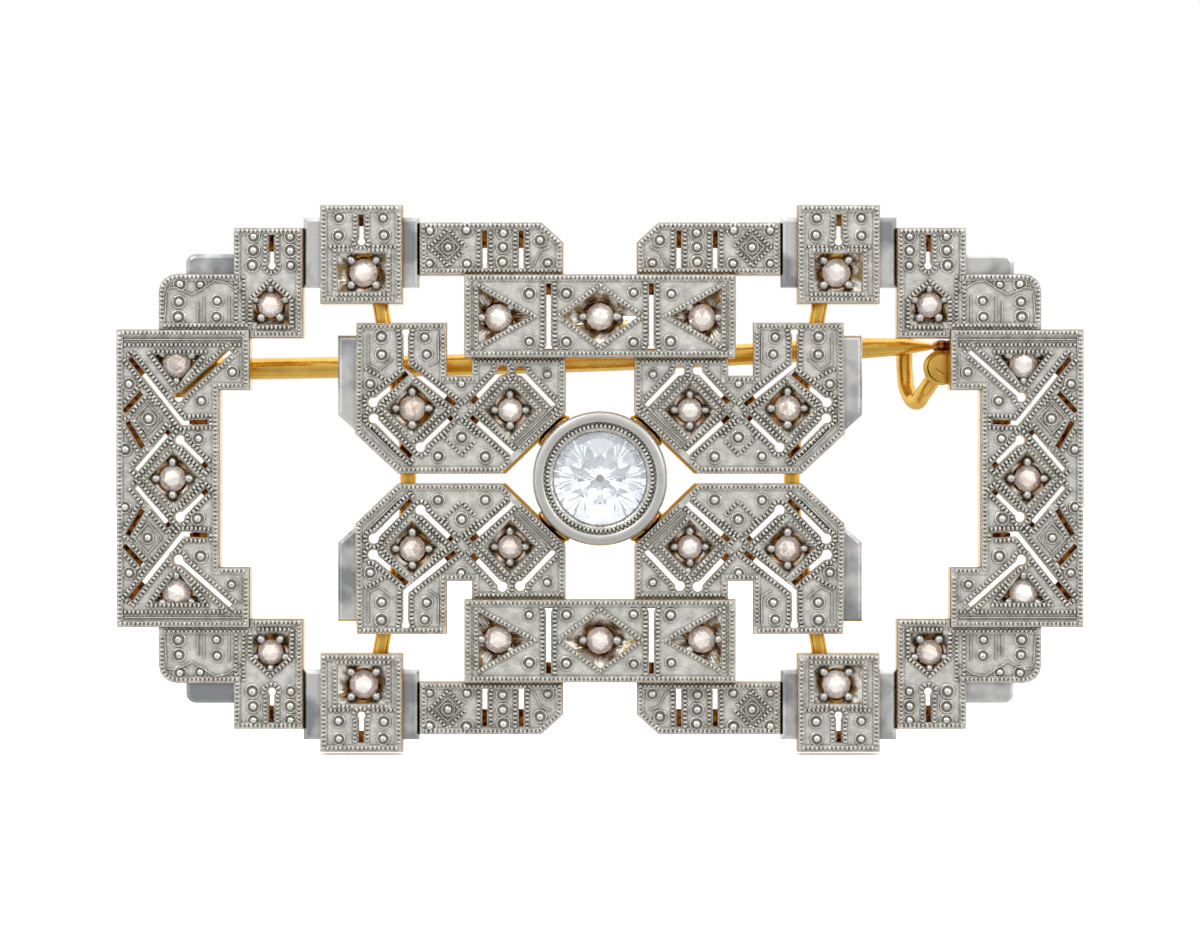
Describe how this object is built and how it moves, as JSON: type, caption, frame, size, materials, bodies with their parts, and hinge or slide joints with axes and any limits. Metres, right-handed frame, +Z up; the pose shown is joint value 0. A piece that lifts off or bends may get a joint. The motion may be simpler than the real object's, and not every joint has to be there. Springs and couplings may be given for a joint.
{
  "type": "brooch",
  "caption": "Rectangular stepped plaque brooch of pierced plates with small rose-cut stones, a round centre stone in a raised bezel, and a hinged pin with a wire catch.",
  "frame": {"origin": "behind the middle of the centre stone, on the flat back plane of the plates, where the garment lies", "axes": "front faces -Y, +Z up as worn, +X to the viewer's right along the length; the pin is on the +Y side"},
  "size_m": [0.0508, 0.007, 0.0286],
  "materials": {
    "platinum_top": "platinum with engraved and milgrained surface, backed with gold",
    "yellow_gold": "polished yellow gold",
    "rose_diamond": "rose-cut diamond, white to pale champagne",
    "centre_diamond": "old European cut diamond"
  },
  "bodies": {
    "frame": {"left_end_panel": "platinum_top", "right_end_panel": "platinum_top", "top_right_corner_plate": "platinum_top", "top_right_square_block": "platinum_top", "top_right_slotted_block": "platinum_top", "top_right_inner_plate": "platinum_top", "top_left_corner_plate": "platinum_top", "top_left_square_block": "platinum_top", "top_left_slotted_block": "platinum_top", "top_left_inner_plate": "platinum_top", "bottom_left_corner_plate": "platinum_top", "bottom_left_square_block": "platinum_top", "bottom_left_slotted_block": "platinum_top", "bottom_left_inner_plate": "platinum_top", "bottom_right_corner_plate": "platinum_top", "bottom_right_square_block": "platinum_top", "bottom_right_slotted_block": "platinum_top", "bottom_right_inner_plate": "platinum_top", "top_bar": "platinum_top", "bottom_bar": "platinum_top", "centre_bezel": "platinum_top", "centre_collet": "yellow_gold", "left_gallery_rail": "yellow_gold", "right_gallery_rail": "yellow_gold", "hinge_base": "yellow_gold", "hinge_rivet": "yellow_gold", "catch_hook": "yellow_gold", "left_end_rose_top": "rose_diamond", "left_end_rose_middle": "rose_diamond", "left_end_rose_bottom": "rose_diamond", "right_end_rose_top": "rose_diamond", "right_end_rose_middle": "rose_diamond", "right_end_rose_bottom": "rose_diamond", "top_right_corner_rose": "rose_diamond", "top_right_square_rose": "rose_diamond", "top_right_outer_rose": "rose_diamond", "top_right_inner_rose": "rose_diamond", "top_left_corner_rose": "rose_diamond", "top_left_square_rose": "rose_diamond", "top_left_outer_rose": "rose_diamond", "top_left_inner_rose": "rose_diamond", "bottom_left_corner_rose": "rose_diamond", "bottom_left_square_rose": "rose_diamond", "bottom_left_outer_rose": "rose_diamond", "bottom_left_inner_rose": "rose_diamond", "bottom_right_corner_rose": "rose_diamond", "bottom_right_square_rose": "rose_diamond", "bottom_right_outer_rose": "rose_diamond", "bottom_right_inner_rose": "rose_diamond", "top_bar_rose_left": "rose_diamond", "top_bar_rose_middle": "rose_diamond", "top_bar_rose_right": "rose_diamond", "bottom_bar_rose_left": "rose_diamond", "bottom_bar_rose_middle": "rose_diamond", "bottom_bar_rose_right": "rose_diamond", "centre_diamond": "centre_diamond"},
    "pin": {"pin_barrel": "yellow_gold", "pin_stem": "yellow_gold"}
  },
  "joints": [
    {"name": "pin_swing", "type": "hinge", "parent": "frame", "child": "pin", "pos_m": [-0.0215, 0.0022, 0.00585], "axis": [0, 0, 1], "range_deg": [0, 100]}
  ]
}
